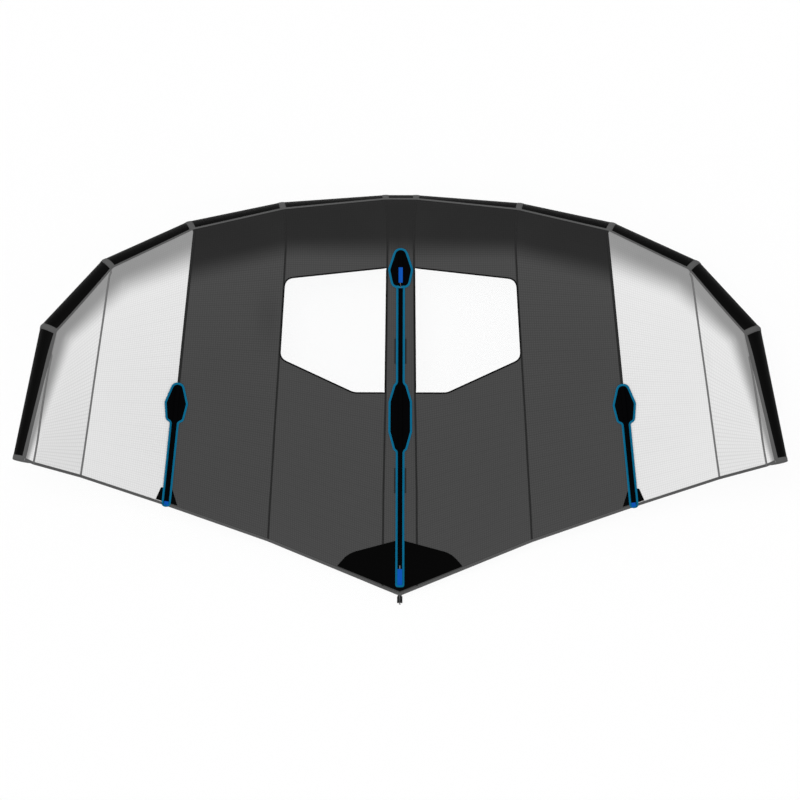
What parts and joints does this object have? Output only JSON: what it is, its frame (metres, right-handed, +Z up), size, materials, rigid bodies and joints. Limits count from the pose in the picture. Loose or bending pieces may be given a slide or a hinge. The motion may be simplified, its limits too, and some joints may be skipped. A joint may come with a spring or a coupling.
{
  "type": "wingfoil wing",
  "caption": "Hand-held inflatable wing for wing foiling: a bent air-filled leading edge tube, a sewn canopy with clear windows, batten sleeves and a telescopic boom underneath.",
  "frame": {"origin": "centre of the wing's base box: on the ground under the middle of its plan outline", "axes": "+X to the right tip along the span, +Y forward to the leading edge, +Z up out of the upper side of the canopy"},
  "size_m": [3.093, 1.6395, 0.429],
  "materials": {
    "black_anodised_tube": "satin",
    "black_plastic": "matte",
    "black_reinforcement": "matte",
    "black_tube_cloth": "matte",
    "bladder_film": "satin",
    "blue_tag": "matte",
    "clear_film": "clear gloss",
    "dark_canopy_cloth": "matte ripstop",
    "foam_grip": "matte foam",
    "glass_fibre_rod": "satin",
    "grey_tape": "matte",
    "outhaul_line": "braided",
    "sleeve_cloth": "matte",
    "stainless_pin": "satin",
    "white_canopy_cloth": "matte ripstop"
  },
  "bodies": {
    "wing": {"batten_end_patch_left": "black_reinforcement", "batten_end_patch_right": "black_reinforcement", "boom_head_pin": "stainless_pin", "boom_mount_plate": "black_plastic", "canopy_center_panel": "dark_canopy_cloth", "canopy_inner_panel_left": "dark_canopy_cloth", "canopy_inner_panel_right": "dark_canopy_cloth", "canopy_mid_panel_left": "dark_canopy_cloth", "canopy_mid_panel_right": "dark_canopy_cloth", "canopy_outer_panel_left": "white_canopy_cloth", "canopy_outer_panel_right": "white_canopy_cloth", "canopy_tip_panel_left": "white_canopy_cloth", "canopy_tip_panel_right": "white_canopy_cloth", "center_batten_rod": "glass_fibre_rod", "center_batten_sleeve": "sleeve_cloth", "front_batten_tag": "blue_tag", "handle_pad": "foam_grip", "handle_webbing": "black_reinforcement", "le_bladder": "bladder_film", "le_panel_1_left": "black_tube_cloth", "le_panel_1_right": "black_tube_cloth", "le_panel_2_left": "black_tube_cloth", "le_panel_2_right": "black_tube_cloth", "le_panel_3_left": "black_tube_cloth", "le_panel_3_right": "black_tube_cloth", "le_panel_4_left": "black_tube_cloth", "le_panel_4_right": "black_tube_cloth", "le_panel_5_left": "black_tube_cloth", "le_panel_5_right": "black_tube_cloth", "le_panel_center": "black_tube_cloth", "outhaul_line": "outhaul_line", "rear_batten_tag": "blue_tag", "side_batten_rod_left": "glass_fibre_rod", "side_batten_rod_right": "glass_fibre_rod", "side_batten_sleeve_left": "sleeve_cloth", "side_batten_sleeve_right": "sleeve_cloth", "side_batten_tag_left": "blue_tag", "side_batten_tag_right": "blue_tag", "spot_patch_front": "black_reinforcement", "spot_patch_rear": "black_reinforcement", "tip_cap_left": "grey_tape", "tip_cap_right": "grey_tape", "trailing_corner_patch": "black_reinforcement", "trailing_edge_hem_left": "grey_tape", "trailing_edge_hem_right": "grey_tape", "valve_base": "black_plastic", "window_left": "clear_film", "window_right": "clear_film"},
    "boom": {"boom_head": "black_plastic", "boom_front_tube": "black_anodised_tube", "boom_grip": "foam_grip", "clamp_collar": "black_plastic", "clamp_lever_pin": "stainless_pin"},
    "boom_tail": {"boom_tail_tube": "black_anodised_tube", "boom_tail_end": "black_plastic"},
    "lever": {"clamp_lever": "black_plastic"},
    "cap": {"valve_cap": "black_plastic"},
    "button": {"valve_button": "black_plastic"}
  },
  "joints": [
    {"name": "boom_swing", "type": "hinge", "parent": "wing", "child": "boom", "pos_m": [0, 0.58299, 0.06514], "axis": [1, 0, 0], "range_deg": [0, 75]},
    {"name": "tail_slide", "type": "slide", "parent": "boom", "child": "boom_tail", "axis": [0, 0.9993, 0.0374], "range_m": [0, 0.3]},
    {"name": "lever_hinge", "type": "hinge", "parent": "boom", "child": "lever", "pos_m": [0.027, -0.25538, 0.03379], "axis": [0, -0.0374, 0.9993], "range_deg": [-110, 0]},
    {"name": "cap_hinge", "type": "hinge", "parent": "wing", "child": "cap", "pos_m": [0.23317, 0.59496, 0.10816], "axis": [0.9955, -0.0809, 0.05], "range_deg": [-120, 0]},
    {"name": "button_press", "type": "slide", "parent": "wing", "child": "button", "axis": [0.0653, 0.9639, 0.2582], "range_m": [0, 0.004], "stiffness_N_per_m": 300}
  ]
}
